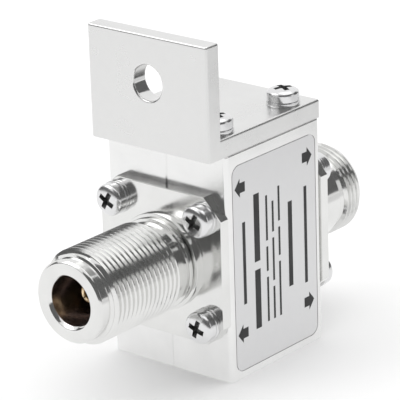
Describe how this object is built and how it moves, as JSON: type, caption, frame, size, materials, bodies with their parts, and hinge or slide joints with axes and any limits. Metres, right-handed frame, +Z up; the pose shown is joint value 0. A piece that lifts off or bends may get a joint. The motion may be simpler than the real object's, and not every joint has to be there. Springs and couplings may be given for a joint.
{
  "type": "coax lightning arrestor",
  "caption": "Coaxial lightning arrestor: split metal block with threaded jacks front and rear, a right-angle mounting bracket on top and a gas-tube surge circuit inside.",
  "frame": {"origin": "centre of the block's underside, on the seam between its halves", "axes": "+Z up, -Y out of the antenna jack, +X towards the label side"},
  "size_m": [0.0254, 0.0673, 0.0582],
  "materials": {
    "block_metal": "satin bright plating",
    "label_foil": "satin foil with black print",
    "bracket_metal": "satin bright plating",
    "plated_brass": "bright white-metal plating",
    "screw_steel": "polished",
    "insulator_white": "matt",
    "contact_gold": "gold plating",
    "line_brass": "bright",
    "capacitor_ceramic": "matt glaze",
    "tube_ceramic": "matt",
    "tube_cap_steel": "bright",
    "coil_copper": "enamelled wire"
  },
  "bodies": {
    "root": {"housing_right": "block_metal", "housing_left": "block_metal", "label_plate": "label_foil", "mounting_bracket": "bracket_metal", "bracket_screws": "screw_steel", "bracket_lock_washers": "screw_steel", "antenna_jack": "plated_brass", "antenna_insulator": "insulator_white", "antenna_contact": "contact_gold", "antenna_flange_screws": "screw_steel", "antenna_lock_washers": "screw_steel", "equipment_jack": "plated_brass", "equipment_insulator": "insulator_white", "equipment_contact": "contact_gold", "equipment_flange_screws": "screw_steel", "equipment_lock_washers": "screw_steel", "antenna_line_bar": "line_brass", "equipment_line_bar": "line_brass", "blocking_capacitor": "capacitor_ceramic", "gas_tube_body": "tube_ceramic", "gas_tube_line_cap": "tube_cap_steel", "gas_tube_ground_cap": "tube_cap_steel", "bleed_coil": "coil_copper"}
  },
  "joints": []
}
